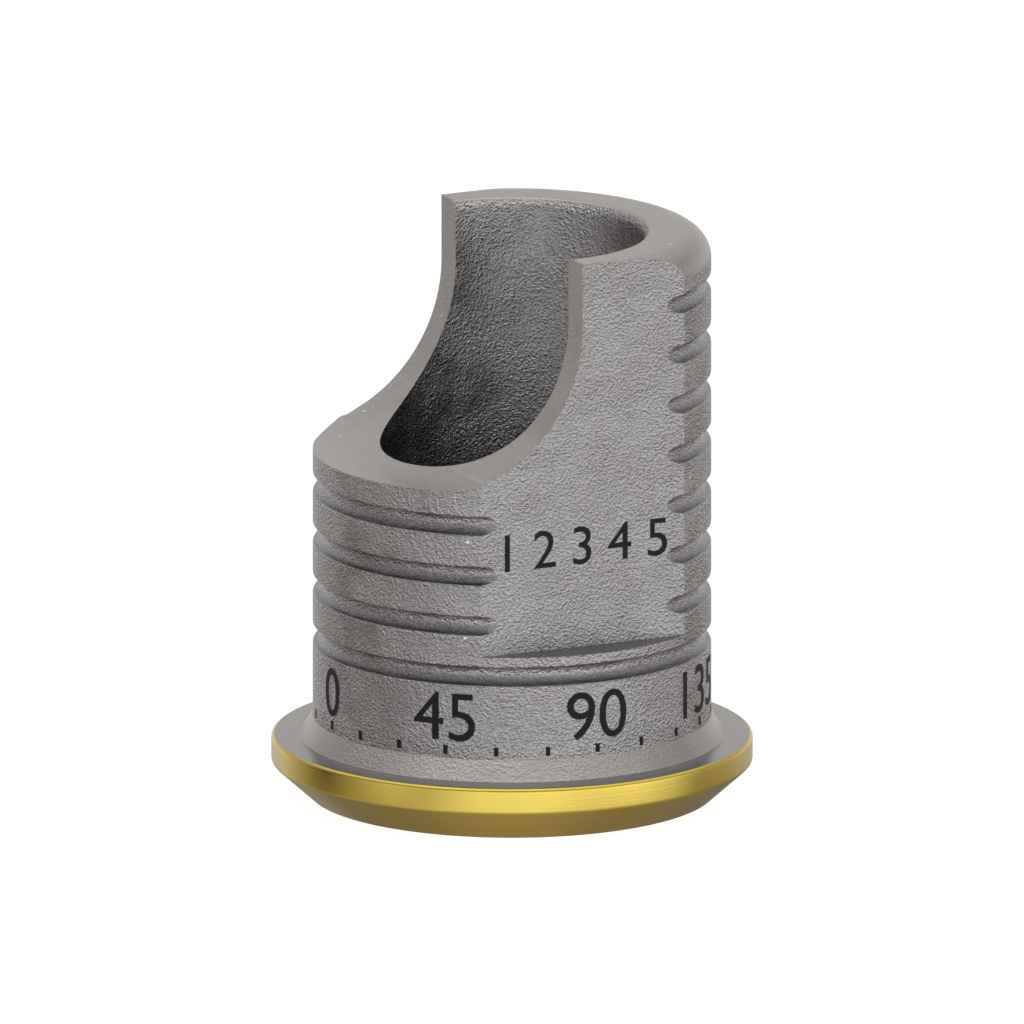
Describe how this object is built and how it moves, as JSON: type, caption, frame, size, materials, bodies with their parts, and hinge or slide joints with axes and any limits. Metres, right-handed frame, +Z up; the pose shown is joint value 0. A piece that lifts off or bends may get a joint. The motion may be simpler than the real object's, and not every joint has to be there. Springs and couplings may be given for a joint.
{
  "type": "titanium base abutment",
  "caption": "Turned titanium base for a cemented dental crown, with a gold collar, ringed post, two flats and a side cut-out for an angled screw.",
  "frame": {"origin": "centre of the seating face, where the base meets the implant's platform", "axes": "+Z up along the screw axis, towards the rim; the screw access opening looks towards -Y; the two flats face -X and +X"},
  "size_m": [0.0048, 0.0048, 0.0058],
  "materials": {
    "blasted_titanium": "titanium grade 5, grit blasted to a matt warm grey; the collar's band and underside chamfer carry a gold titanium-nitride coating"
  },
  "bodies": {
    "root": {"titanium_base": "blasted_titanium"}
  },
  "joints": []
}
